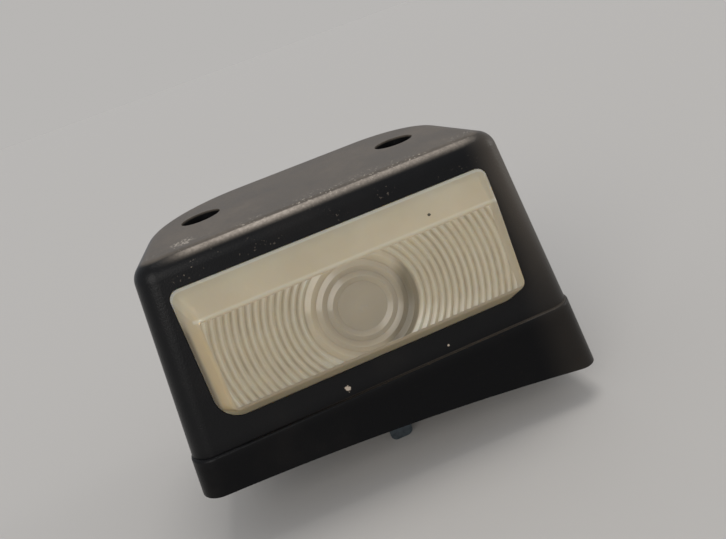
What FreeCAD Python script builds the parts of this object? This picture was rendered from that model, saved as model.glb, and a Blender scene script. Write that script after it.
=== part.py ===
"""Front indicator lamp: a black hood with a ringed clear lens, screwed down from above.

Frame: X runs along the lamp, the lens faces -Y, Z is up. The origin lies midway between the
seats of the two mounting screws, level with the ledge between hood and skirt.
Lengths are in millimetres, angles in degrees.
"""
import math
import os

import FreeCAD
import Part

os.makedirs("parts", exist_ok=True)
V = FreeCAD.Vector

# Hood: its outer planes, given where they cross the ledge at z = 0
TOP_Z = 46.5
FRONT_Y = -37.5
BACK_Y = 29.0
HALF_WIDTH = 51.2
FRONT_LEAN = 10.0
BACK_LEAN = 5.0
SIDE_LEAN = 4.8
PLAN_TAPER = 0.085
WALL = 2.3
CEILING = 2.5
FRONT_CORNER_R = 6.0
BACK_LEFT_R = 29.0
BACK_RIGHT_R = 23.0
TOP_EDGE_R = 5.0
INNER_CORNER_R = 1.5

# Skirt: stands out from the hood at front and back, flares down to the curve of the bodywork
SKIRT_STEP = 0.9
SKIRT_FLARE = 0.155
SIDE_STEP = 0.15
SIDE_FLARE = 0.08
LEDGE_EDGE_R = 0.7
UNDERSIDE_DROP = 12.0
UNDERSIDE_R = 736.0
UNDERSIDE_TILT = 4.8
SKIRT_SPARE = 10.0

# Mounting wells: two screws seat in them and go down into the bodywork
HOLE_SPACING = 56.0
HOLE_R = 2.75
WELL_R = 5.4
COLUMN_R = 7.5

# Lens, in the plane of the hood's front: u along, v up from the ledge, w inwards
LENS_FROM_SIDE = 11.2
LENS_FROM_TOP = 7.5
LENS_LOW_V = 6.5
LENS_TOP_R = 2.5
LENS_LOW_R = 6.0
LENS_THICK = 2.2
LENS_PLAY = 0.15
FLANGE_WIDTH = 1.6
FLANGE_THICK = 2.0
SEAL_THICK = 0.8

# Raised face of the lens: how far its edges lie inside the lens outline
FACE_IN_LEFT = 4.0
FACE_IN_RIGHT = 1.5
FACE_IN_LOW = 2.9
FACE_IN_TOP = 7.8
FACE_R = 1.5
FACE_RISE = 5.2
FACE_EDGE_R = 1.0

# Rings on the face: a flat bull's eye, three wide rings, then ribs of even pitch
RING_BORDER = 0.7
RING_BORDER_RIGHT = 2.1
RING_HEIGHT = 0.5
RING_CREST = 0.5
WIDE_RINGS = [5.8, 8.3, 10.8, 13.5]
RING_PITCH = 1.65

# Reflector: a trough with a parabolic back, inside the lens outline by the margin
REFLECTOR_WALL = 1.2
TROUGH_MARGIN = 1.7
TROUGH_DEPTH = 30.0
PAD_WIDTH = 5.0
PAD_HEIGHT = 10.0

# Base plate, the seal round the rim, and four screws set in from that seal and from the hood's planes
PLATE_DROP = 4.3
PLATE_THICK = 2.5
PLATE_PLAY = 0.1
RIM_SEAL_WIDTH = 2.2
SCREW_FROM_SIDE = 3.05
SCREW_FROM_FRONT = 19.5
SCREW_FROM_BACK = 11.0
BOSS_R = 4.0
BOSS_HEIGHT = 14.3
SCREW_R = 1.5
SCREW_LENGTH = 11.0
SCREW_HEAD_R = 2.9
SCREW_HEAD = 1.8

# Bulb with a 15 mm bayonet cap, upright behind the middle of the rings
BULB_FROM_FRONT = 20.5
PIN_Z = -1.8
PIN_R = 1.0
LIGHT_CENTRE = 19.0
CAP_R = 7.5
CAP_WALL = 0.4
CAP_BELOW_PIN = 6.6
CAP_LENGTH = 16.5
GLASS_R = 9.0
GLASS_WALL = 0.7
GLASS_IN_CAP = 6.0
INSULATOR_DROP = 1.6
INSULATOR_LOW_R = 3.4
INSULATOR_HIGH_R = 6.8
BUMP_DROP = 1.6
BUMP_LOW_R = 1.6
BUMP_HIGH_R = 2.4
STEM_RISE = 3.0
STEM_LOW_R = 2.4
STEM_HIGH_R = 1.6
FILAMENT_LENGTH = 6.0
FILAMENT_R = 0.4
WIRE_R = 0.25

# Bulb holder: sleeve, spring contact, two blade terminals, two rivets
SLEEVE_PLAY = 0.2
SLEEVE_WALL = 0.6
SLEEVE_ABOVE_PIN = 5.3
SLOT_WIDTH = 2.4
SLOT_TURN = 4.4
DISC_THICK = 1.6
CONTACT_HEAD = 1.2
CONTACT_HEAD_R = 3.0
CONTACT_STEM_R = 1.0
SPRING_ROOM = 2.6
SPRING_R = 4.5
SPRING_WIRE_R = 0.3
HOLDER_BASE_THICK = 2.0
SHEET = 0.8
FLANGE_EAR_R = 4.5
RIVET_X = 11.8
RIVET_R = 1.5
RIVET_HEAD_R = 2.5
RIVET_HEAD = 1.0
LUG_AHEAD = 4.2
LUG_BEHIND = 2.8
BLADE_WIDTH = 6.3
BLADE_LENGTH = 8.2
BLADE_TIP_R = 1.8

# Heights, depths and places that follow from the sizes above
SKIRT_LOW_Z = -UNDERSIDE_DROP - SKIRT_SPARE
PLATE_HIGH_Z = -PLATE_DROP
PLATE_LOW_Z = PLATE_HIGH_Z - PLATE_THICK
LENS_HALF_U = HALF_WIDTH - LENS_FROM_SIDE
LENS_HIGH_V = TOP_Z / math.cos(math.radians(FRONT_LEAN)) - LENS_FROM_TOP
LENS_HEIGHT = LENS_HIGH_V - LENS_LOW_V
FLANGE_W = WALL + SEAL_THICK
REFLECTOR_W = FLANGE_W + FLANGE_THICK
HOLES_X = [-HOLE_SPACING / 2, HOLE_SPACING / 2]
RIVETS_X = [-RIVET_X, RIVET_X]
BULB_Y = FRONT_Y + BULB_FROM_FRONT
CAP_LOW_Z = PIN_Z - CAP_BELOW_PIN
CAP_HIGH_Z = CAP_LOW_Z + CAP_LENGTH
FILAMENT_Z = PIN_Z + LIGHT_CENTRE
CONTACT_Z = CAP_LOW_Z - INSULATOR_DROP - BUMP_DROP
SLEEVE_BORE_R = CAP_R + SLEEVE_PLAY
SLEEVE_R = SLEEVE_BORE_R + SLEEVE_WALL
SLEEVE_HIGH_Z = PIN_Z + SLEEVE_ABOVE_PIN
DISC_HIGH_Z = CONTACT_Z - CONTACT_HEAD
DISC_LOW_Z = DISC_HIGH_Z - DISC_THICK
SPRING_LOW_Z = DISC_LOW_Z - SPRING_ROOM
SLEEVE_LOW_Z = SPRING_LOW_Z - HOLDER_BASE_THICK
SEAL_IN_X = HALF_WIDTH + SIDE_STEP - SCREW_FROM_FRONT * PLAN_TAPER - WALL - RIM_SEAL_WIDTH
SCREW_X = SEAL_IN_X - SCREW_FROM_SIDE
BASE_SCREWS = [(x, FRONT_Y + SCREW_FROM_FRONT) for x in (-SCREW_X, SCREW_X)]
BASE_SCREWS += [(x, BACK_Y - SCREW_FROM_BACK) for x in HOLES_X]


def save(shape, node):
    """Write one node's solid or solids to its own file."""
    shape.exportStep("parts/%s.step" % node)


def tan(degrees):
    return math.tan(math.radians(degrees))


def post(x, y, z0, z1, radius):
    """Upright cylinder between two heights."""
    return Part.makeCylinder(radius, z1 - z0, V(x, y, z0))


def brick(x0, x1, y0, y1, z0, z1):
    """Box between three pairs of limits."""
    return Part.makeBox(x1 - x0, y1 - y0, z1 - z0, V(x0, y0, z0))


def plan(z, front, back, half):
    """Four corners of the trapezoid at height z; half is the half width at FRONT_Y."""
    half_front = half - (front - FRONT_Y) * PLAN_TAPER
    half_back = half - (back - FRONT_Y) * PLAN_TAPER
    return [V(-half_front, front, z), V(half_front, front, z), V(half_back, back, z), V(-half_back, back, z)]


def block(low, high, front_r, inset):
    """Flat-sided block between two plans, its upright corners rounded, the back ones less by inset."""
    rings = [low[::-1], high]
    for i in range(4):
        k = (i + 1) % 4
        rings.append([low[i], low[k], high[k], high[i]])
    solid = Part.Solid(Part.Shell([Part.Face(Part.makePolygon(ring + ring[:1])) for ring in rings]))
    radii = [front_r, front_r, BACK_RIGHT_R - inset, BACK_LEFT_R - inset]
    for foot, head, radius in zip(low, high, radii):
        middle = (foot + head) / 2
        upright = [e for e in solid.Edges if e.CenterOfMass.distanceToPoint(middle) < 0.01]
        solid = solid.makeFillet(radius, upright)
    return solid


def hood_block(inset, z0, z1, front_r, top_r):
    """The hood's leaning block, moved in by inset, with rounded corners and top edge."""
    plans = []
    for z in (z0, z1):
        front = FRONT_Y + z * tan(FRONT_LEAN) + inset / math.cos(math.radians(FRONT_LEAN))
        back = BACK_Y - z * tan(BACK_LEAN) - inset
        plans.append(plan(z, front, back, HALF_WIDTH - z * tan(SIDE_LEAN) - inset))
    solid = block(plans[0], plans[1], front_r, inset)
    return solid.makeFillet(top_r, [e for e in solid.Edges if e.BoundBox.ZMin > z1 - 0.01])


def skirt_block(inset, z0, z1, front_r):
    """The skirt's flared block, moved in by inset, with rounded corners."""
    plans = []
    for z in (z0, z1):
        out = SKIRT_STEP - z * SKIRT_FLARE - inset
        side_out = SIDE_STEP - z * SIDE_FLARE - inset
        plans.append(plan(z, FRONT_Y - out, BACK_Y + out, HALF_WIDTH + side_out))
    return block(plans[0], plans[1], front_r, inset)


def to_front(shape):
    """Carry a shape drawn as (u, w, v) into the leaning plane of the hood's front."""
    shape.rotate(V(0, 0, 0), V(1, 0, 0), -FRONT_LEAN)
    shape.translate(V(0, FRONT_Y, 0))
    return shape


def rounded_wire(u0, u1, v0, v1, low_r, top_r, w):
    """Rectangle in the front plane at depth w, with one radius below and another above."""
    low = low_r * (1 - math.sqrt(0.5))
    top = top_r * (1 - math.sqrt(0.5))

    def line(ua, va, ub, vb):
        return Part.LineSegment(V(ua, w, va), V(ub, w, vb)).toShape()

    def arc(ua, va, um, vm, ub, vb):
        return Part.Arc(V(ua, w, va), V(um, w, vm), V(ub, w, vb)).toShape()

    return Part.Wire([
        line(u0 + low_r, v0, u1 - low_r, v0),
        arc(u1 - low_r, v0, u1 - low, v0 + low, u1, v0 + low_r),
        line(u1, v0 + low_r, u1, v1 - top_r),
        arc(u1, v1 - top_r, u1 - top, v1 - top, u1 - top_r, v1),
        line(u1 - top_r, v1, u0 + top_r, v1),
        arc(u0 + top_r, v1, u0 + top, v1 - top, u0, v1 - top_r),
        line(u0, v1 - top_r, u0, v0 + low_r),
        arc(u0, v0 + low_r, u0 + low, v0 + low, u0 + low_r, v0),
    ])


def lens_wire(grow, w):
    """The lens outline where it meets the hood, moved out by grow."""
    half = LENS_HALF_U + grow
    return rounded_wire(-half, half, LENS_LOW_V - grow, LENS_HIGH_V + grow,
                        max(LENS_LOW_R + grow, 0.5), max(LENS_TOP_R + grow, 0.5), w)


def face_wire(grow, w):
    """The outline of the lens's raised face, moved out by grow."""
    return rounded_wire(FACE_IN_LEFT - LENS_HALF_U - grow, LENS_HALF_U - FACE_IN_RIGHT + grow,
                        LENS_LOW_V + FACE_IN_LOW - grow, LENS_HIGH_V - FACE_IN_TOP + grow, FACE_R, FACE_R, w)


def slab(wire, depth):
    """A plate of the given outline, thickened inwards."""
    return Part.Face(wire).extrude(V(0, depth, 0))


def trough(grow):
    """Solid trough, open to the lens, whose back is a parabola in plan; grow thickens it."""
    half = LENS_HALF_U - TROUGH_MARGIN - 1 + grow
    back = TROUGH_DEPTH + grow
    low_v = LENS_LOW_V + TROUGH_MARGIN - grow
    points = []
    for step in range(-4, 5):
        share = step / 4
        points.append(V(share * half, back - share ** 2 * (back - REFLECTOR_W), low_v))
    curve = Part.BSplineCurve()
    curve.interpolate(points)
    wire = Part.Wire([curve.toShape(), Part.makeLine(points[-1], points[0])])
    return Part.Face(wire).extrude(V(0, 0, LENS_HEIGHT - 2 * TROUGH_MARGIN + 2 * grow))


def envelope(wall):
    """The bulb's round envelope, its outline moved in by wall."""
    neck = CAP_R - CAP_WALL - wall
    globe = GLASS_R - wall
    low = V(0, BULB_Y, CAP_HIGH_Z - GLASS_IN_CAP + wall)
    corner = V(neck, BULB_Y, low.z)
    bend = V(neck, BULB_Y, CAP_HIGH_Z + 0.4)
    middle = V(globe, BULB_Y, FILAMENT_Z - 2)
    swell = V(neck + 0.7 * (globe - neck), BULB_Y, (bend.z + middle.z) / 2)
    slant = globe * math.sqrt(0.5)
    shoulder = V(slant, BULB_Y, middle.z + slant)
    top = V(0, BULB_Y, middle.z + globe)
    outline = [
        Part.makeLine(low, corner),
        Part.makeLine(corner, bend),
        Part.Arc(bend, swell, middle).toShape(),
        Part.Arc(middle, shoulder, top).toShape(),
        Part.makeLine(top, low),
    ]
    return Part.Face(Part.Wire(outline)).revolve(V(0, BULB_Y, 0), V(0, 0, 1), 360)


def eared_plate(z0, hole_r):
    """Sheet with a round middle and two rivet ears, above z0."""
    plate = brick(-RIVET_X, RIVET_X, BULB_Y - FLANGE_EAR_R, BULB_Y + FLANGE_EAR_R, z0, z0 + SHEET)
    plate = plate.fuse(post(0, BULB_Y, z0, z0 + SHEET, SLEEVE_R + 2.7))
    for x in RIVETS_X:
        plate = plate.fuse(post(x, BULB_Y, z0, z0 + SHEET, FLANGE_EAR_R))
    for x in RIVETS_X:
        plate = plate.cut(post(x, BULB_Y, z0, z0 + SHEET, RIVET_R))
    return plate.cut(post(0, BULB_Y, z0, z0 + SHEET, hole_r))


# Bodywork: the round surface that the lamp stands on, higher at its left than at its right
tilt = math.radians(UNDERSIDE_TILT)
axis_z = -UNDERSIDE_R * math.cos(tilt) - UNDERSIDE_DROP
bodywork_axis = V(-UNDERSIDE_R * math.sin(tilt), 3 * FRONT_Y, axis_z)
bodywork = Part.makeCylinder(UNDERSIDE_R, -6 * FRONT_Y, bodywork_axis, V(0, 1, 0))

# Housing: hood and skirt in one, hollow, with a window, two holes for the screws and four bosses
housing = hood_block(0, -1, TOP_Z, FRONT_CORNER_R, TOP_EDGE_R)
skirt = skirt_block(0, SKIRT_LOW_Z, 0, FRONT_CORNER_R)
skirt = skirt.makeFillet(LEDGE_EDGE_R, [e for e in skirt.Edges if e.BoundBox.ZMin > -0.01])
housing = housing.fuse(skirt)
cavity = hood_block(WALL, PLATE_HIGH_Z, TOP_Z - CEILING, INNER_CORNER_R, INNER_CORNER_R)
recess = skirt_block(WALL, SKIRT_LOW_Z - 1, PLATE_HIGH_Z, FRONT_CORNER_R - WALL)
housing = housing.cut(cavity).cut(recess)
half_wall = hood_block(WALL / 2, PLATE_HIGH_Z, TOP_Z - CEILING, INNER_CORNER_R, INNER_CORNER_R)
boss_top_z = PLATE_HIGH_Z + BOSS_HEIGHT
for x, y in BASE_SCREWS:
    boss = post(x, y, PLATE_HIGH_Z, boss_top_z, BOSS_R)
    web = brick(-BOSS_R / 2, BOSS_R / 2, 0, HALF_WIDTH, PLATE_HIGH_Z, boss_top_z)
    if y < 0:
        web.rotate(V(0, 0, 0), V(0, 0, 1), math.copysign(90, -x))
    web.translate(V(x, y, 0))
    housing = housing.fuse(boss.fuse(web).common(half_wall))
for x in HOLES_X:
    housing = housing.cut(post(x, 0, 0, TOP_Z + 1, WELL_R))
for x, y in BASE_SCREWS:
    housing = housing.cut(post(x, y, PLATE_HIGH_Z, PLATE_LOW_Z + SCREW_LENGTH, SCREW_R))
window = to_front(slab(lens_wire(LENS_PLAY, -FACE_RISE), FACE_RISE + WALL + 0.5))
housing = housing.cut(bodywork).cut(window).removeSplitter()
save(housing, "housing")

# Screw columns: two tubes from the hood's ceiling to the bodywork, with a seat for a screw head in each
columns = []
for x in HOLES_X:
    column = post(x, 0, SKIRT_LOW_Z, TOP_Z - CEILING, COLUMN_R)
    column = column.cut(post(x, 0, 0, TOP_Z, WELL_R)).cut(post(x, 0, SKIRT_LOW_Z, 1, HOLE_R))
    columns.append(column.cut(bodywork))
save(Part.makeCompound(columns), "screw_columns")

# Lens seal: flat rubber frame between the front wall and the lens flange
lens_seal = slab(lens_wire(FLANGE_WIDTH, WALL), SEAL_THICK).cut(slab(lens_wire(LENS_PLAY, WALL), SEAL_THICK))
save(to_front(lens_seal), "lens_seal")

# Lens: flange, neck in the window, sloping sides, and a flat raised face that carries the rings
lens = slab(lens_wire(FLANGE_WIDTH, FLANGE_W), FLANGE_THICK)
lens = lens.fuse(slab(lens_wire(0, 0), FLANGE_W))
raised = Part.makeLoft([lens_wire(0, 0), face_wire(0, -FACE_RISE)], True, True)
face_edges = [e for e in raised.Edges if e.BoundBox.YMax < 0.01 - FACE_RISE]
lens = lens.fuse(raised.makeFillet(FACE_EDGE_R, face_edges))
lens = lens.cut(slab(lens_wire(-LENS_THICK, 0), REFLECTOR_W))
lens = lens.cut(Part.makeLoft([lens_wire(-LENS_THICK, 0), face_wire(-1, LENS_THICK - FACE_RISE)], True, True))
field_left = FACE_IN_LEFT - LENS_HALF_U + RING_BORDER
field_right = LENS_HALF_U - FACE_IN_RIGHT - RING_BORDER_RIGHT
field_low = LENS_LOW_V + FACE_IN_LOW + RING_BORDER
field_high = LENS_HIGH_V - FACE_IN_TOP - RING_BORDER
ring_v = (field_low + field_high) / 2
reach = math.hypot(max(-field_left, field_right), (field_high - field_low) / 2)
radii = list(WIDE_RINGS)
while radii[-1] < reach:
    radii.append(radii[-1] + RING_PITCH)
outline = [V(0, 0.2, 0), V(0, -RING_HEIGHT, 0), V(radii[0], 0, 0)]
for inner, outer in zip(radii, radii[1:]):
    outline.append(V(inner + RING_CREST * (outer - inner), -RING_HEIGHT, 0))
    outline.append(V(outer, 0, 0))
outline.append(V(radii[-1], 0.2, 0))
rings = Part.Face(Part.makePolygon(outline + outline[:1])).revolve(V(0, 0, 0), V(0, 1, 0), 360)
rings.translate(V(0, -FACE_RISE, ring_v))
field = brick(field_left, field_right, -FACE_RISE - 1, -FACE_RISE + 1, field_low, field_high)
lens = lens.fuse(rings.common(field)).removeSplitter()
save(to_front(lens), "lens")

# Reflector: a rim on the lens flange, and a curved trough wedged against the screw columns
reflector = slab(lens_wire(FLANGE_WIDTH, REFLECTOR_W), REFLECTOR_WALL).fuse(trough(REFLECTOR_WALL))
for x in HOLES_X:
    reflector = reflector.fuse(brick(x - PAD_WIDTH / 2, x + PAD_WIDTH / 2, REFLECTOR_W + 6, TROUGH_DEPTH + 6,
                                     ring_v - PAD_HEIGHT / 2, ring_v + PAD_HEIGHT / 2))
reflector = to_front(reflector.cut(trough(0)))
reflector = reflector.cut(post(0, BULB_Y, SLEEVE_LOW_Z, FILAMENT_Z, GLASS_R + 0.8))
for x in HOLES_X:
    reflector = reflector.cut(post(x, 0, SKIRT_LOW_Z, TOP_Z, COLUMN_R))
    reflector = reflector.cut(brick(x - COLUMN_R, x + COLUMN_R, 0, BACK_Y, SKIRT_LOW_Z, TOP_Z))
save(reflector.removeSplitter(), "reflector")

# Base plate: closes the hood from below and carries the bulb holder
plate = skirt_block(WALL + PLATE_PLAY, PLATE_LOW_Z, PLATE_HIGH_Z, FRONT_CORNER_R - WALL)
plate = plate.cut(post(0, BULB_Y, PLATE_LOW_Z, PLATE_HIGH_Z, SLEEVE_R))
for x in HOLES_X:
    plate = plate.cut(post(x, 0, PLATE_LOW_Z, PLATE_HIGH_Z, COLUMN_R))
for x, y in BASE_SCREWS:
    plate = plate.cut(post(x, y, PLATE_LOW_Z, PLATE_HIGH_Z, SCREW_R))
for x in RIVETS_X:
    plate = plate.cut(post(x, BULB_Y, PLATE_LOW_Z, PLATE_HIGH_Z, RIVET_R))
save(plate, "base_plate")

# Rim seal: rubber band inside the skirt, from the base plate down to the bodywork
rim_seal = skirt_block(WALL, SKIRT_LOW_Z, PLATE_LOW_Z, FRONT_CORNER_R - WALL)
rim_seal = rim_seal.cut(skirt_block(WALL + RIM_SEAL_WIDTH, SKIRT_LOW_Z, PLATE_LOW_Z, INNER_CORNER_R))
save(rim_seal.cut(bodywork), "rim_seal")

# Base screws: four alike, heads below the plate, shanks in the bosses of the housing
screws = []
for x, y in BASE_SCREWS:
    head_low_z = PLATE_LOW_Z - SCREW_HEAD
    cross_z = head_low_z + SCREW_HEAD / 2
    head = post(x, y, head_low_z, PLATE_LOW_Z, SCREW_HEAD_R)
    head = head.makeFillet(SCREW_HEAD / 2, [e for e in head.Edges if e.BoundBox.ZMax < cross_z])
    for half_x, half_y in ((1.6, 0.35), (0.35, 1.6)):
        head = head.cut(brick(x - half_x, x + half_x, y - half_y, y + half_y, head_low_z, cross_z))
    screws.append(head.fuse(post(x, y, PLATE_LOW_Z, PLATE_LOW_Z + SCREW_LENGTH, SCREW_R)))
save(Part.makeCompound(screws), "base_screws")

# Bulb glass: hollow envelope with the stem that carries the wires
stem_low_z = CAP_HIGH_Z - GLASS_IN_CAP
stem_high_z = CAP_HIGH_Z + STEM_RISE
stem = Part.makeCone(STEM_LOW_R, STEM_HIGH_R, stem_high_z - stem_low_z, V(0, BULB_Y, stem_low_z))
save(envelope(0).cut(envelope(GLASS_WALL)).fuse(stem).removeSplitter(), "bulb_glass")

# Bulb cap: thin brass tube with two bayonet pins
cap = post(0, BULB_Y, CAP_LOW_Z, CAP_HIGH_Z, CAP_R)
pin_reach = SLEEVE_R + 0.2
cap = cap.fuse(Part.makeCylinder(PIN_R, 2 * pin_reach, V(-pin_reach, BULB_Y, PIN_Z), V(1, 0, 0)))
save(cap.cut(post(0, BULB_Y, CAP_LOW_Z, CAP_HIGH_Z, CAP_R - CAP_WALL)), "bulb_cap")

# Bulb insulator and contact: the black plug in the cap and the solder bump below it
insulator = post(0, BULB_Y, CAP_LOW_Z, CAP_LOW_Z + 1, CAP_R - CAP_WALL)
plug_low = V(0, BULB_Y, CAP_LOW_Z - INSULATOR_DROP)
insulator = insulator.fuse(Part.makeCone(INSULATOR_LOW_R, INSULATOR_HIGH_R, INSULATOR_DROP, plug_low))
save(insulator, "bulb_insulator")
save(Part.makeCone(BUMP_LOW_R, BUMP_HIGH_R, BUMP_DROP, V(0, BULB_Y, CONTACT_Z)), "bulb_contact")

# Filament and the two wires that hold it
half = FILAMENT_LENGTH / 2
filament = Part.makeCylinder(FILAMENT_R, FILAMENT_LENGTH, V(-half, BULB_Y, FILAMENT_Z), V(1, 0, 0))
save(filament, "filament")
wires = []
for side in (-1, 1):
    start = V(side, BULB_Y, stem_high_z - 1)
    end = V(side * (half - WIRE_R), BULB_Y, FILAMENT_Z)
    wires.append(Part.makeCylinder(WIRE_R, (end - start).Length, start, end - start).cut(stem).cut(filament))
save(Part.makeCompound(wires), "lead_wires")

# Holder sleeve: tube with bayonet slots, and a flange that lies on the base plate
sleeve = post(0, BULB_Y, SLEEVE_LOW_Z, SLEEVE_HIGH_Z, SLEEVE_R).fuse(eared_plate(PLATE_HIGH_Z, SLEEVE_BORE_R))
sleeve = sleeve.cut(post(0, BULB_Y, SLEEVE_LOW_Z, SLEEVE_HIGH_Z, SLEEVE_BORE_R))
slot_low_z = PIN_Z - SLOT_WIDTH / 2
slot_end = SLOT_TURN + SLOT_WIDTH / 2
for turn in (0, 180):
    level = brick(CAP_R / 2, 2 * SLEEVE_R, -SLOT_WIDTH / 2, slot_end, slot_low_z, PIN_Z + PIN_R)
    upright = brick(CAP_R / 2, 2 * SLEEVE_R, slot_end - SLOT_WIDTH, slot_end, slot_low_z, SLEEVE_HIGH_Z)
    slot = level.fuse(upright)
    slot.rotate(V(0, 0, 0), V(0, 0, 1), turn)
    slot.translate(V(0, BULB_Y, 0))
    sleeve = sleeve.cut(slot)
save(sleeve.removeSplitter(), "holder_sleeve")

# Holder base: insulating disc pressed into the bottom of the sleeve
holder_base = post(0, BULB_Y, SLEEVE_LOW_Z, SPRING_LOW_Z, SLEEVE_BORE_R)
save(holder_base.cut(post(0, BULB_Y, SLEEVE_LOW_Z, SPRING_LOW_Z, CONTACT_STEM_R)), "holder_base")

# Contact disc, its spring, and the centre contact that passes through both
disc = post(0, BULB_Y, DISC_LOW_Z, DISC_HIGH_Z, SLEEVE_BORE_R - 0.1)
save(disc.cut(post(0, BULB_Y, DISC_LOW_Z, DISC_HIGH_Z, CONTACT_STEM_R)), "contact_disc")
helix = Part.makeHelix(1.0, SPRING_ROOM - 2 * SPRING_WIRE_R, SPRING_R)
half = SPRING_WIRE_R
corners = ((1, 1), (-1, 1), (-1, -1), (1, -1), (1, 1))
section = Part.makePolygon([V(SPRING_R + a * half, 0, b * half) for a, b in corners])
spring = Part.Wire(helix).makePipeShell([section], True, True)
spring.translate(V(0, BULB_Y, SPRING_LOW_Z + SPRING_WIRE_R))
save(spring, "contact_spring")
lug_low_z = SLEEVE_LOW_Z - SHEET
centre = post(0, BULB_Y, lug_low_z, DISC_HIGH_Z, CONTACT_STEM_R)
centre = centre.fuse(post(0, BULB_Y, DISC_HIGH_Z, CONTACT_Z, CONTACT_HEAD_R))
centre = centre.fuse(post(0, BULB_Y, lug_low_z - SHEET, lug_low_z, 1.9 * CONTACT_STEM_R))
save(centre.removeSplitter(), "centre_contact")

# Live terminal: a lug under the holder base, bent down into a blade that shows below the lamp
lug_front = BULB_Y - LUG_AHEAD
half_blade = BLADE_WIDTH / 2
tip_z = SLEEVE_LOW_Z - BLADE_LENGTH
lug = brick(-half_blade, half_blade, lug_front, BULB_Y + LUG_BEHIND, lug_low_z, SLEEVE_LOW_Z)
lug = lug.cut(post(0, BULB_Y, lug_low_z, SLEEVE_LOW_Z, CONTACT_STEM_R))
blade = brick(-half_blade, half_blade, lug_front, lug_front + SHEET, tip_z, SLEEVE_LOW_Z)
tip = [e for e in blade.Edges if e.BoundBox.ZMax < tip_z + 0.01 and e.BoundBox.YLength > SHEET / 2]
save(lug.fuse(blade.makeFillet(BLADE_TIP_R, tip)).removeSplitter(), "live_terminal")

# Earth strip: eared plate under the base plate, one end bent down into a second blade
strip = eared_plate(PLATE_LOW_Z - SHEET, SLEEVE_R)
bend_x = RIVET_X + FLANGE_EAR_R
blade_front = BULB_Y - half_blade
blade_back = BULB_Y + half_blade
tip_z = PLATE_LOW_Z - SHEET - BLADE_LENGTH
end = brick(RIVET_X + RIVET_HEAD_R, bend_x, blade_front, blade_back, PLATE_LOW_Z - SHEET, PLATE_LOW_Z)
blade = brick(bend_x - SHEET, bend_x, blade_front, blade_back, tip_z, PLATE_LOW_Z)
tip = [e for e in blade.Edges if e.BoundBox.ZMax < tip_z + 0.01 and e.BoundBox.XLength > SHEET / 2]
save(strip.fuse(end).fuse(blade.makeFillet(BLADE_TIP_R, tip)).removeSplitter(), "earth_strip")

# Holder rivets: two alike, through flange, base plate and earth strip
rivets = []
grip_low_z = PLATE_LOW_Z - SHEET
grip_high_z = PLATE_HIGH_Z + SHEET
for x in RIVETS_X:
    rivet = post(x, BULB_Y, grip_low_z, grip_high_z, RIVET_R)
    rivet = rivet.fuse(post(x, BULB_Y, grip_high_z, grip_high_z + RIVET_HEAD, RIVET_HEAD_R))
    rivet = rivet.fuse(post(x, BULB_Y, grip_low_z - RIVET_HEAD, grip_low_z, RIVET_HEAD_R))
    rivets.append(rivet)
save(Part.makeCompound(rivets), "holder_rivets")
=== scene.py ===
import math

import bmesh
import bpy
from mathutils import Matrix, Vector


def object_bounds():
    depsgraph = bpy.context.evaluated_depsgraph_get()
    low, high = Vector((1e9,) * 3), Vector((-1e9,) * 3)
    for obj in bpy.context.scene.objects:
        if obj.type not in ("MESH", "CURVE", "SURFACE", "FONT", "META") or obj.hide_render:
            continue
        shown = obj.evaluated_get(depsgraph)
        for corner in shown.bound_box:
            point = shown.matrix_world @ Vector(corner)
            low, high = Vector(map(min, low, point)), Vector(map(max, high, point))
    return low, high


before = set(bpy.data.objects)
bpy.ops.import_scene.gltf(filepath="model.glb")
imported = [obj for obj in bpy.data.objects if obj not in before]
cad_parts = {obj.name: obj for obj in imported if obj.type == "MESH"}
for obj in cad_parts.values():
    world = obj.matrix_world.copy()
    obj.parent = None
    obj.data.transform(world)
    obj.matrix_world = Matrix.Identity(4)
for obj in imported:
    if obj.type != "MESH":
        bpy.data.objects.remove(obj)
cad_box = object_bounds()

# Housing: one black moulding, hood and skirt together, with the fine grain of its mould.
# Dust lies on the top face, and two small chips below the lens show pale plastic. A highlight
# is painted along the front edge of the top, partly worn by rubbing, with painted sheen on the
# right front corner and a painted highlight on the ledge. The screw columns inside are of the
# same plastic.


def start_finish(name):
    """A new material: its node tree, its shader, and where a point lies on the lamp."""
    finish = bpy.data.materials.new(name)
    finish.use_nodes = True
    tree = finish.node_tree
    place = tree.nodes.new("ShaderNodeTexCoord").outputs["Object"]
    return finish, tree, tree.nodes["Principled BSDF"], place


def plug(tree, socket, value):
    """Link a socket, or set it where the value is a plain number, vector or colour."""
    if isinstance(value, bpy.types.NodeSocket):
        tree.links.new(value, socket)
    else:
        socket.default_value = value


def calc(tree, operation, a, b=0.0, clamp=False):
    """One step of arithmetic."""
    step = tree.nodes.new("ShaderNodeMath")
    step.operation = operation
    step.use_clamp = clamp
    plug(tree, step.inputs[0], a)
    plug(tree, step.inputs[1], b)
    return step.outputs[0]


def product(tree, *masks):
    """Several masks multiplied together."""
    result = masks[0]
    for mask in masks[1:]:
        result = calc(tree, "MULTIPLY", result, mask)
    return result


def ramp(tree, value, low, high, to_low=0.0, to_high=1.0):
    """Smooth step of a value between two limits."""
    step = tree.nodes.new("ShaderNodeMapRange")
    step.interpolation_type = "SMOOTHSTEP"
    plug(tree, step.inputs["Value"], value)
    step.inputs["From Min"].default_value = low
    step.inputs["From Max"].default_value = high
    step.inputs["To Min"].default_value = to_low
    step.inputs["To Max"].default_value = to_high
    return step.outputs["Result"]


def between(tree, value, low, high, soft):
    """1 between two limits of a value, 0 beyond them, with soft edges."""
    above = ramp(tree, value, low - soft, low + soft)
    below = ramp(tree, value, high + soft, high - soft)
    return calc(tree, "MULTIPLY", above, below)


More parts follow.
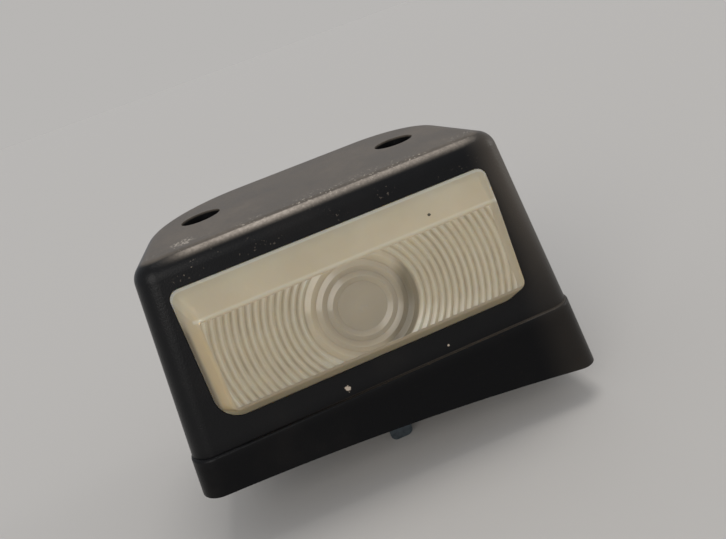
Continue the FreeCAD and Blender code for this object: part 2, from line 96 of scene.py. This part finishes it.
def mottle(tree, place, scale, detail=3.0):
    """Noise of the given scale, in patches per metre."""
    noise = tree.nodes.new("ShaderNodeTexNoise")
    plug(tree, noise.inputs["Vector"], place)
    noise.inputs["Scale"].default_value = scale
    noise.inputs["Detail"].default_value = detail
    noise.inputs["Roughness"].default_value = 0.55
    return noise.outputs["Fac"]


def patches(tree, place, scale, detail, limits, to=(0.0, 1.0)):
    """Noise that steps smoothly from one of its limits to the other."""
    return ramp(tree, mottle(tree, place, scale, detail), *limits, *to)


def spot(tree, place, centre, radius):
    """1 within a small ball on the lamp, 0 outside it, with a ragged edge."""
    noise_mean = 0.5
    ragged_scale = 900.0
    ragged_by = radius * 2.2
    whole_within = radius * 0.75
    away = tree.nodes.new("ShaderNodeVectorMath")
    away.operation = "DISTANCE"
    plug(tree, away.inputs[0], place)
    away.inputs[1].default_value = centre
    uneven = calc(tree, "SUBTRACT", mottle(tree, place, ragged_scale), noise_mean)
    ragged = calc(tree, "ADD", away.outputs["Value"], calc(tree, "MULTIPLY", uneven, ragged_by))
    return ramp(tree, ragged, radius, whole_within)


def blend(tree, factor, first, second):
    """Mix of two colours."""
    mix = tree.nodes.new("ShaderNodeMix")
    mix.data_type = "RGBA"
    first_colour = mix.inputs[6]
    second_colour = mix.inputs[7]
    mixed_colour = mix.outputs[2]
    plug(tree, mix.inputs["Factor"], factor)
    plug(tree, first_colour, first)
    plug(tree, second_colour, second)
    return mixed_colour


def grain(tree, shader, height, strength, distance):
    """Relief on a surface."""
    bump = tree.nodes.new("ShaderNodeBump")
    bump.inputs["Strength"].default_value = strength
    bump.inputs["Distance"].default_value = distance
    plug(tree, bump.inputs["Height"], height)
    plug(tree, shader.inputs["Normal"], bump.outputs["Normal"])


def axes_of(tree, place):
    """The X, Y and Z of a place on the lamp."""
    split = tree.nodes.new("ShaderNodeSeparateXYZ")
    plug(tree, split.inputs[0], place)
    return split.outputs


# Places are in metres. A pair says where a mask starts and where it is full, and a share
# how much of it shows.
top_z = cad_box[1][2]
front_edge_y = (-0.017, -0.023)
top_skin = (0.0007, 0.0001)
rub_highlight_upper = (0.0001, 0.0005)
rub_highlight_lower = (0.0021, 0.0006)
rub_highlight_left = -0.0355
rub_highlight_right = 0.0400
rub_highlight_fade = 0.005
speck_depth = (0.0080, 0.0030)
fleck_depth = (0.0013, 0.0007)
fleck_y = (-0.018, -0.024)
clump_at = (-0.0332, -0.0209, top_z)
clump_r = 0.0030
film_share = 0.03
corner_x = (0.036, 0.048)
corner_y = (0.005, -0.025)
corner_depth = (0.0500, 0.0035)
corner_share = (0.08, 0.45)
ledge_low = -0.00012
ledge_high = 0.00015
ledge_fade = 0.00005
ledge_x = (-0.035, 0.030)
ledge_share = (0.0, 0.25)
large_chip_at = (-0.0099, -0.0371, 0.0021)
large_chip_r = 0.0009
small_chip_at = (0.0166, -0.0371, 0.0020)
small_chip_r = 0.0004
skirt_to_hood = (-0.003, 0.003)
moulding_black = (0.0045, 0.0045, 0.0050, 1.0)
dust_and_sheen_brown = (0.205, 0.172, 0.138, 1.0)
highlight_grey = (0.48, 0.420, 0.360, 1.0)
fleck_buff = (0.42, 0.370, 0.310, 1.0)
chip_pale = (0.50, 0.42, 0.34, 1.0)

black_moulding, tree, shader, place = start_finish("black_moulding")
x, y, z = axes_of(tree, place)
below_top = calc(tree, "SUBTRACT", top_z, z)
near_front = ramp(tree, y, *front_edge_y)
settled = product(tree, ramp(tree, below_top, *top_skin),
                  patches(tree, place, scale=60.0, detail=5.0, limits=(0.25, 0.75), to=(0.50, 0.72)),
                  patches(tree, place, scale=700.0, detail=4.0, limits=(0.3, 0.7), to=(0.85, 1.08)))
# Painted highlight along the front fillet of the top, partly wear from rubbing, in the dusting brown.
rubbed_and_highlight = product(tree, near_front, between(tree, x, rub_highlight_left, rub_highlight_right, rub_highlight_fade),
                 ramp(tree, below_top, *rub_highlight_lower), ramp(tree, below_top, *rub_highlight_upper),
                 patches(tree, place, scale=1300.0, detail=2.0, limits=(0.3, 0.7), to=(0.8, 1.0)),
                 patches(tree, place, scale=40.0, detail=2.0, limits=(0.3, 0.7), to=(0.75, 1.0)))
edge_specks = product(tree, patches(tree, place, scale=1700.0, detail=1.0, limits=(0.67, 0.71)),
                      patches(tree, place, scale=130.0, detail=2.0, limits=(0.50, 0.64)),
                      ramp(tree, below_top, *speck_depth), near_front)
flecks = product(tree, patches(tree, place, scale=1500.0, detail=1.0, limits=(0.65, 0.70)),
                 patches(tree, place, scale=90.0, detail=2.0, limits=(0.44, 0.60)),
                 ramp(tree, below_top, *fleck_depth), ramp(tree, y, *fleck_y))
clump = product(tree, spot(tree, place, clump_at, clump_r),
                patches(tree, place, scale=1500.0, detail=1.0, limits=(0.49, 0.58)))
film = product(tree, patches(tree, place, scale=45.0, detail=5.0, limits=(0.45, 0.8)), film_share)
# Painted sheen on the right front corner, over a dusting film.
corner_dust_and_sheen = product(tree, ramp(tree, x, *corner_x), ramp(tree, y, *corner_y),
                       ramp(tree, below_top, *corner_depth, *corner_share))
# Painted highlight along the ledge over the skirt, over a dusting.
ledge_dust_and_highlight = product(tree, between(tree, z, ledge_low, ledge_high, ledge_fade),
                   ramp(tree, x, *ledge_x, *ledge_share))
# Dusting together with the painted highlights and sheen, all in one brown.
dust_and_sheen = calc(tree, "ADD", calc(tree, "ADD", edge_specks, film), corner_dust_and_sheen, clamp=True)
for mask in (settled, rubbed_and_highlight, ledge_dust_and_highlight):
    dust_and_sheen = calc(tree, "MAXIMUM", dust_and_sheen, mask)
# Painted highlight: a narrow bright line along the front fillet of the top.
painted_highlight = product(tree, rubbed_and_highlight, rubbed_and_highlight, rubbed_and_highlight)
dirt = calc(tree, "MAXIMUM", flecks, clump)
chips = calc(tree, "MAXIMUM", spot(tree, place, large_chip_at, large_chip_r),
             spot(tree, place, small_chip_at, small_chip_r))
colour = blend(tree, dust_and_sheen, moulding_black, dust_and_sheen_brown)
for mask, tint in ((painted_highlight, highlight_grey), (dirt, fleck_buff), (chips, chip_pale)):
    colour = blend(tree, mask, colour, tint)
plug(tree, shader.inputs["Base Color"], colour)
plug(tree, shader.inputs["Roughness"], ramp(tree, dust_and_sheen, 0.0, 1.0, to_low=0.32, to_high=0.55))
skin_gloss = ramp(tree, z, *skirt_to_hood, to_low=0.09, to_high=0.19)
plug(tree, shader.inputs["Specular IOR Level"], skin_gloss)
grain(tree, shader, mottle(tree, place, scale=2600.0, detail=2.0), strength=0.22, distance=0.0003)
for name in ("housing", "screw_columns"):
    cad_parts[name].data.materials[0] = black_moulding

# Lens seal and rim seal: soft black rubber, cut and moulded, matt and a little dusty.
# One is pinched behind the lens flange, the other lines the skirt down to the bodywork.


def two_tone(name, scale, detail, limits, clean, worn, smooth, rough):
    """A finish of two colours in patches, each with a roughness of its own."""
    finish, tree, shader, place = start_finish(name)
    patch = patches(tree, place, scale, detail, limits)
    plug(tree, shader.inputs["Base Color"], blend(tree, patch, clean, worn))
    plug(tree, shader.inputs["Roughness"], ramp(tree, patch, 0.0, 1.0, smooth, rough))
    return finish, tree, shader, place, patch


black_rubber, tree, shader, place, _ = two_tone(
    "black_rubber", scale=160.0, detail=4.0, limits=(0.35, 0.8), clean=(0.012, 0.012, 0.012, 1.0),
    worn=(0.045, 0.043, 0.040, 1.0), smooth=0.62, rough=0.85)
grain(tree, shader, mottle(tree, place, scale=1800.0), strength=0.2, distance=0.0003)
for name in ("lens_seal", "rim_seal"):
    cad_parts[name].data.materials[0] = black_rubber

# Lens: clear moulded plastic that has yellowed with age, most of all at its ends.
# Its raised face carries the rings, its sides slope back to the hood, and its flange is held
# behind the front wall. A dark crescent lies to the right of the bull's eye. Shade is painted in
# the grooves of the rings, in a line under the face and along the left rim; highlights are
# painted on the crests, in glints low on the face, along the face's top edge and lip, and as
# light on the lower flank.
front_y = -0.0375
front_lean = math.radians(10.0)
rings_up = 0.02066
first_rib = 0.0135
rib_pitch = 0.00165
half_pitch = 0.5
ribs_start = (first_rib - 0.0005, first_rib + 0.0001)
groove_shade_at = (0.30, 0.10)
crest_highlight_at = (0.34, 0.45)
face_left = -0.03535
face_right = 0.03645
face_low = 0.01015
face_high = 0.03115
face_fade = 0.00015
face_depth = (-0.0049, -0.0051)
crescent_slant = 0.55
crescent_side = (0.0055, 0.0105)
crescent_inside = (0.0079, 0.0101)
crescent_outside = (0.0137, 0.0130)
crescent_share = 0.8
core_inside = 0.0108
core_outside = 0.0122
core_fade = 0.0005
core_share = 0.45
glint_below = (-0.0060, -0.0095)
glint_inside = (0.0132, 0.0138)
glint_outside = (0.0175, 0.0150)
eye_edge = (0.0125, 0.0080)
eye_share = 0.42
left_end_from = -0.0385
left_end_to = -0.0356
left_end_fade = 0.00075
left_end_up = (0.036, 0.027)
left_rim_along = (-0.0383, -0.0394)
left_rim_up = (0.034, 0.028)
left_rim_share = 0.7
right_end_along = (0.0368, 0.0390)
right_end_up = (0.032, 0.014)
aged_share = 0.7
low_flank_up = (0.0100, 0.0088)
low_line_from = 0.0092
low_line_to = 0.01005
low_line_fade = 0.0002
low_line_share = 0.45
edge_line_from = 0.03145
edge_line_to = 0.0322
edge_line_fade = 0.00028
edge_line_depth = (-0.0040, -0.0044)
top_rim_depth = (-0.00055, -0.00035)
top_rim_up = (0.034, 0.036)
grit_at = (0.0224, -0.0352, 0.0343)
grit_r = 0.0004
lens_straw = (0.81, 0.705, 0.52, 1.0)
lens_cream = (0.87, 0.765, 0.575, 1.0)

# Places on the lens are measured in the leaning plane of the front wall: along it, inward
# from it and up it. Ribs are counted from the groove, 0, to the crest, half a pitch.
clear_lens, tree, shader, place = start_finish("clear_lens")
front_plane = tree.nodes.new("ShaderNodeMapping")
front_plane.vector_type = "TEXTURE"
plug(tree, front_plane.inputs["Vector"], place)
front_plane.inputs["Location"].default_value = (0.0, front_y, 0.0)
front_plane.inputs["Rotation"].default_value = (-front_lean, 0.0, 0.0)
along, inward, up = axes_of(tree, front_plane.outputs["Vector"])
rise = calc(tree, "SUBTRACT", up, rings_up)
squares = calc(tree, "ADD", product(tree, along, along), product(tree, rise, rise))
radius = calc(tree, "SQRT", squares)
on_face = product(tree, ramp(tree, inward, *face_depth),
                  between(tree, up, face_low, face_high, face_fade),
                  between(tree, along, face_left, face_right, face_fade))
ribs = product(tree, on_face, ramp(tree, radius, *ribs_start))
turns = calc(tree, "DIVIDE", calc(tree, "SUBTRACT", radius, first_rib), rib_pitch)
crest = calc(tree, "PINGPONG", turns, half_pitch)
# Painted shade in the grooves of the rings.
groove_shade = product(tree, ribs, ramp(tree, crest, *groove_shade_at),
                 patches(tree, place, scale=150.0, detail=3.0, limits=(0.3, 0.7), to=(0.35, 1.0)))
# Painted highlights along the crests of the rings.
crest_highlight = product(tree, ribs, ramp(tree, crest, *crest_highlight_at),
                 patches(tree, place, scale=110.0, detail=3.0, limits=(0.42, 0.62)))
slanted = calc(tree, "SUBTRACT", along, calc(tree, "MULTIPLY", rise, crescent_slant))
crescent = product(tree, ramp(tree, slanted, *crescent_side), on_face, crescent_share,
                   ramp(tree, radius, *crescent_inside), ramp(tree, radius, *crescent_outside))
crescent_core = product(tree, crescent, between(tree, radius, core_inside, core_outside, core_fade),
                        core_share)
# Painted glints low on the face of the lens.
painted_glint = product(tree, ramp(tree, rise, *glint_below), on_face,
                ramp(tree, radius, *glint_inside), ramp(tree, radius, *glint_outside))
eye = product(tree, ramp(tree, radius, *eye_edge), on_face, eye_share)
left_end = product(tree, between(tree, along, left_end_from, left_end_to, left_end_fade),
                   ramp(tree, up, *left_end_up))
# Painted shade along the outer left rim of the lens, beside the hood.
left_rim_shade = product(tree, ramp(tree, along, *left_rim_along), ramp(tree, up, *left_rim_up),
                   left_rim_share)
right_end = product(tree, ramp(tree, along, *right_end_along), ramp(tree, up, *right_end_up))
aged = product(tree, calc(tree, "MAXIMUM", left_end, right_end), aged_share)
# Painted light on the lower flank of the lens, which faces down.
low_flank_light = ramp(tree, up, *low_flank_up)
# Painted shade in a line just under the face.
low_line_shade = product(tree, between(tree, up, low_line_from, low_line_to, low_line_fade), low_line_share)
# Painted highlight along the top edge of the face.
edge_highlight = product(tree, between(tree, up, edge_line_from, edge_line_to, edge_line_fade),
                    ramp(tree, inward, *edge_line_depth))
# Painted highlight on the lip of the top flank.
top_rim_highlight = product(tree, ramp(tree, inward, *top_rim_depth), ramp(tree, up, *top_rim_up))
grit = spot(tree, place, grit_at, grit_r)
cloud = patches(tree, place, scale=60.0, detail=4.0, limits=(0.3, 0.75))
colour = blend(tree, cloud, lens_straw, lens_cream)
for mask, tint in ((ribs, (0.92, 0.82, 0.62, 1.0)),
                   (groove_shade, (0.67, 0.585, 0.43, 1.0)),
                   (crest_highlight, (1.0, 0.895, 0.70, 1.0)),
                   (painted_glint, (1.0, 0.895, 0.71, 1.0)),
                   (eye, (0.39, 0.36, 0.30, 1.0)),
                   (crescent, (0.30, 0.266, 0.195, 1.0)),
                   (crescent_core, (0.17, 0.146, 0.095, 1.0)),
                   (aged, (0.90, 0.70, 0.40, 1.0)),
                   (low_flank_light, (1.0, 0.825, 0.57, 1.0)),
                   (left_rim_shade, (0.22, 0.18, 0.13, 1.0)),
                   (edge_highlight, (1.0, 0.885, 0.70, 1.0)),
                   (top_rim_highlight, (1.0, 0.91, 0.72, 1.0)),
                   (low_line_shade, (0.42, 0.35, 0.24, 1.0)),
                   (grit, (0.10, 0.09, 0.07, 1.0))):
    colour = blend(tree, mask, colour, tint)
plug(tree, shader.inputs["Base Color"], colour)
plug(tree, shader.inputs["Roughness"], ramp(tree, cloud, 0.0, 1.0, to_low=0.12, to_high=0.22))
lens_gloss = ramp(tree, crescent, 0.0, crescent_share, to_low=0.5, to_high=0.03)
plug(tree, shader.inputs["Specular IOR Level"], lens_gloss)
shader.inputs["IOR"].default_value = 1.49
shader.inputs["Transmission Weight"].default_value = 0.55
shader.inputs["Subsurface Weight"].default_value = 0.6
shader.inputs["Subsurface Radius"].default_value = (1.0, 0.85, 0.6)
shader.inputs["Subsurface Scale"].default_value = 0.003
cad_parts["lens"].data.materials[0] = clear_lens

# Reflector: pale moulded trough behind the lens, its face lacquered to a soft sheen.
# It is pinched between the lens flange and the two screw columns.
pale_lacquer = two_tone(
    "pale_lacquer", scale=90.0, detail=4.0, limits=(0.3, 0.8), clean=(0.80, 0.78, 0.72, 1.0),
    worn=(0.70, 0.67, 0.59, 1.0), smooth=0.28, rough=0.42)[0]
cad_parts["reflector"].data.materials[0] = pale_lacquer

# Base plate: plain black moulding that closes the hood from below.
# Four plated screws hold it to the bosses of the housing; plated rivets hold the bulb holder.
plate_black, tree, shader, place, _ = two_tone(
    "plate_black", scale=220.0, detail=5.0, limits=(0.5, 0.85), clean=(0.014, 0.014, 0.015, 1.0),
    worn=(0.060, 0.056, 0.050, 1.0), smooth=0.45, rough=0.7)
grain(tree, shader, mottle(tree, place, scale=1400.0), strength=0.15, distance=0.0003)
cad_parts["base_plate"].data.materials[0] = plate_black


def metal_finish(name, scale, bright, dull, smooth, rough):
    """Metal with patches of tarnish and a faint drawn grain."""
    drawn_scale = scale * 9.0
    finish, tree, shader, place, _ = two_tone(name, scale, detail=5.0, limits=(0.35, 0.75),
                                              clean=bright, worn=dull, smooth=smooth, rough=rough)
    shader.inputs["Metallic"].default_value = 1.0
    grain(tree, shader, mottle(tree, place, drawn_scale), strength=0.08, distance=0.0002)
    return finish


plated_steel = metal_finish("plated_steel", scale=300.0, bright=(0.60, 0.60, 0.58, 1.0),
                            dull=(0.38, 0.36, 0.32, 1.0), smooth=0.28, rough=0.5)
for name in ("base_screws", "holder_rivets"):
    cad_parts[name].data.materials[0] = plated_steel

# Bulb: clear blown glass on a brass bayonet cap, with a black plug and a solder bump below.
# A coiled filament hangs between two wires that are sealed into the glass stem.
bulb_glass, _, shader, _, _ = two_tone(
    "bulb_glass", scale=80.0, detail=3.0, limits=(0.3, 0.8), clean=(1.0, 1.0, 1.0, 1.0),
    worn=(0.93, 0.93, 0.90, 1.0), smooth=0.0, rough=0.05)
shader.inputs["IOR"].default_value = 1.5
shader.inputs["Transmission Weight"].default_value = 1.0
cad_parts["bulb_glass"].data.materials[0] = bulb_glass
dull_brass = metal_finish("dull_brass", scale=260.0, bright=(0.78, 0.58, 0.26, 1.0),
                          dull=(0.42, 0.28, 0.12, 1.0), smooth=0.25, rough=0.5)
for name in ("bulb_cap", "holder_sleeve", "centre_contact"):
    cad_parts[name].data.materials[0] = dull_brass
black_glass = two_tone(
    "black_glass", scale=240.0, detail=3.0, limits=(0.3, 0.8), clean=(0.010, 0.010, 0.013, 1.0),
    worn=(0.030, 0.030, 0.034, 1.0), smooth=0.12, rough=0.3)[0]
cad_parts["bulb_insulator"].data.materials[0] = black_glass
solder = metal_finish("solder", scale=420.0, bright=(0.70, 0.70, 0.69, 1.0),
                      dull=(0.46, 0.46, 0.45, 1.0), smooth=0.3, rough=0.55)
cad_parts["bulb_contact"].data.materials[0] = solder
drawn_wire = metal_finish("drawn_wire", scale=600.0, bright=(0.42, 0.42, 0.44, 1.0),
                          dull=(0.24, 0.23, 0.22, 1.0), smooth=0.3, rough=0.5)
for name in ("filament", "lead_wires", "contact_spring"):
    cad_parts[name].data.materials[0] = drawn_wire

# Bulb holder: brass sleeve with two insulating discs of pressed brown board.
# The blades are tinned strip; the live one has tarnished blue-grey and shows below the lamp.
pressed_board, tree, shader, _, fibre = two_tone(
    "pressed_board", scale=700.0, detail=6.0, limits=(0.3, 0.7), clean=(0.10, 0.050, 0.026, 1.0),
    worn=(0.21, 0.12, 0.065, 1.0), smooth=0.5, rough=0.7)
grain(tree, shader, fibre, strength=0.15, distance=0.0002)
for name in ("holder_base", "contact_disc"):
    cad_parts[name].data.materials[0] = pressed_board
blue_tin = metal_finish("blue_tin", scale=330.0, bright=(0.15, 0.185, 0.21, 1.0),
                        dull=(0.085, 0.10, 0.11, 1.0), smooth=0.35, rough=0.55)
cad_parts["live_terminal"].data.materials[0] = blue_tin
plain_tin = metal_finish("plain_tin", scale=330.0, bright=(0.56, 0.56, 0.55, 1.0),
                         dull=(0.34, 0.33, 0.31, 1.0), smooth=0.3, rough=0.5)
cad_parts["earth_strip"].data.materials[0] = plain_tin

# Setting: a plain pale floor just below the lamp's lowest point, with soft light from above,
# from the front left and from the right, and a plain backdrop that only the camera sees.
# The camera stands where the photograph was taken from, rolled as it shows the lamp.
floor_gap = 0.0001
floor_z = cad_box[0][2] - floor_gap
floor_half = 6.0
floor_mesh = bpy.data.meshes.new("floor")
floor_sketch = bmesh.new()
bmesh.ops.create_grid(floor_sketch, x_segments=1, y_segments=1, size=floor_half,
                      matrix=Matrix.Translation((0.0, 0.0, floor_z)))
floor_sketch.to_mesh(floor_mesh)
floor_sketch.free()
floor = bpy.data.objects.new("floor", floor_mesh)
bpy.context.scene.collection.objects.link(floor)
pale_floor, _, shader, _ = start_finish("pale_floor")
shader.inputs["Base Color"].default_value = (0.55, 0.53, 0.505, 1.0)
shader.inputs["Roughness"].default_value = 0.8
floor_mesh.materials.append(pale_floor)

world = bpy.data.worlds.new("soft_room")
bpy.context.scene.world = world
world.use_nodes = True
room_nodes = world.node_tree.nodes
room_links = world.node_tree.links
room = room_nodes["Background"]
room.inputs["Color"].default_value = (0.92, 0.95, 1.0, 1.0)
room.inputs["Strength"].default_value = 0.50
backdrop = room_nodes.new("ShaderNodeBackground")
backdrop.inputs["Color"].default_value = (0.478, 0.467, 0.455, 1.0)
seen = room_nodes.new("ShaderNodeLightPath")
choose = room_nodes.new("ShaderNodeMixShader")
light_falls = choose.inputs[1]
camera_sees = choose.inputs[2]
room_links.new(seen.outputs["Is Camera Ray"], choose.inputs["Fac"])
room_links.new(room.outputs["Background"], light_falls)
room_links.new(backdrop.outputs["Background"], camera_sees)
room_links.new(choose.outputs["Shader"], room_nodes["World Output"].inputs["Surface"])


def soft_sun(name, stands_at, spread, strength, colour):
    """A far soft light that shines from stands_at towards the lamp."""
    light = bpy.data.lights.new(name, "SUN")
    light.angle = spread
    light.energy = strength
    light.color = colour
    sun = bpy.data.objects.new(name, light)
    sun.location = stands_at
    sun.rotation_euler = (-Vector(stands_at)).to_track_quat("-Z", "Y").to_euler()
    bpy.context.scene.collection.objects.link(sun)


soft_sun("overhead", stands_at=(0.15, 0.07, 0.80), spread=0.5, strength=0.70, colour=(1.0, 0.98, 0.95))
soft_sun("front_fill", stands_at=(-0.42, -0.68, 0.40), spread=0.7, strength=1.05, colour=(1.0, 0.97, 0.93))
soft_sun("right_side", stands_at=(0.75, 0.05, 0.14), spread=0.35, strength=0.45, colour=(1.0, 0.97, 0.93))

camera_at = Vector((-0.0168, -0.1873, 0.0830))
right = Vector((0.917, -0.238, -0.321)).normalized()
forward = Vector((0.124, 0.933, -0.337)).normalized()
down = forward.cross(right).normalized()
right = down.cross(forward).normalized()
camera_data = bpy.data.cameras.new("camera")
camera_data.sensor_width = 36.0
camera_data.lens = 34.711
camera_data.clip_start = 0.01
camera = bpy.data.objects.new("camera", camera_data)
turned = Matrix((right, -down, -forward)).transposed().to_4x4()
camera.matrix_world = Matrix.Translation(camera_at) @ turned
bpy.context.scene.collection.objects.link(camera)
bpy.context.scene.camera = camera
bpy.context.scene.view_settings.view_transform = "Standard"
